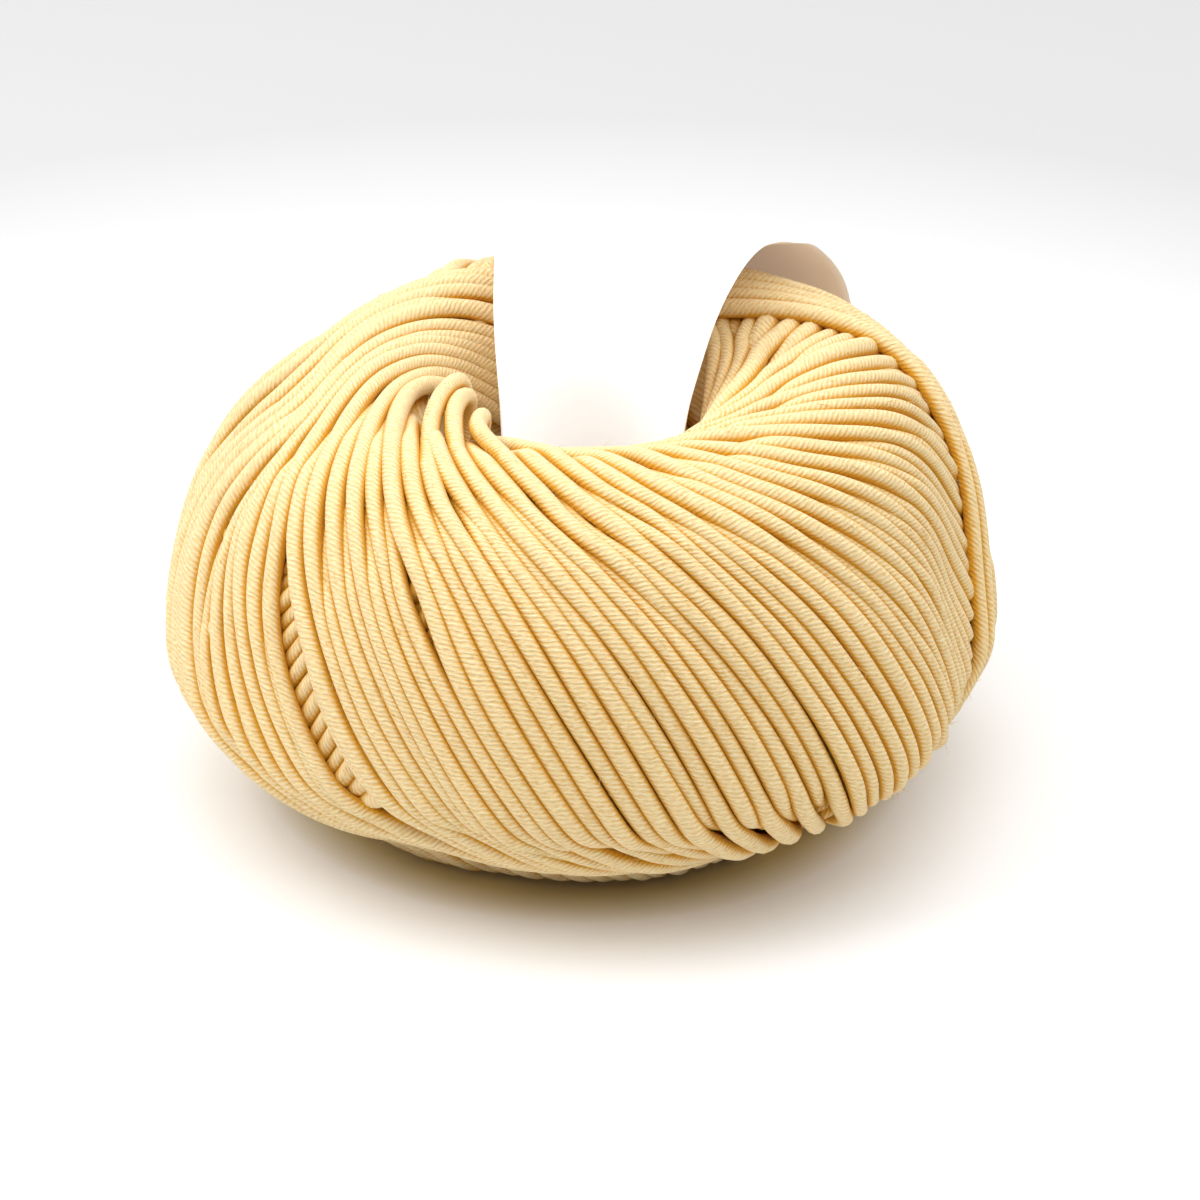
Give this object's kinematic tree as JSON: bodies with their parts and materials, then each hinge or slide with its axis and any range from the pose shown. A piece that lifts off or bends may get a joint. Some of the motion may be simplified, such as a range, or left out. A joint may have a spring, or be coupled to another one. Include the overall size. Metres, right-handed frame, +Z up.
{
  "type": "ball of yarn",
  "caption": "Machine-wound ball of soft cream knitting yarn with an open core and slanting turns, and a bare paper band looped through the core and round its back.",
  "frame": {"origin": "centre of the bounding box's bottom, on the surface that the ball rests on; the winding axis stands 2.1 mm in front of it", "axes": "+Z up along the winding axis; -Y is the front, where the turns fall to the right; +X is to the right; the paper band is at the back, 22 degrees to the right"},
  "size_m": [0.1023, 0.1045, 0.0643],
  "materials": {
    "wool_yarn": "matte",
    "band_paper": "matte"
  },
  "bodies": {
    "root": {"wound_yarn": "wool_yarn", "paper_band": "band_paper"}
  },
  "joints": []
}
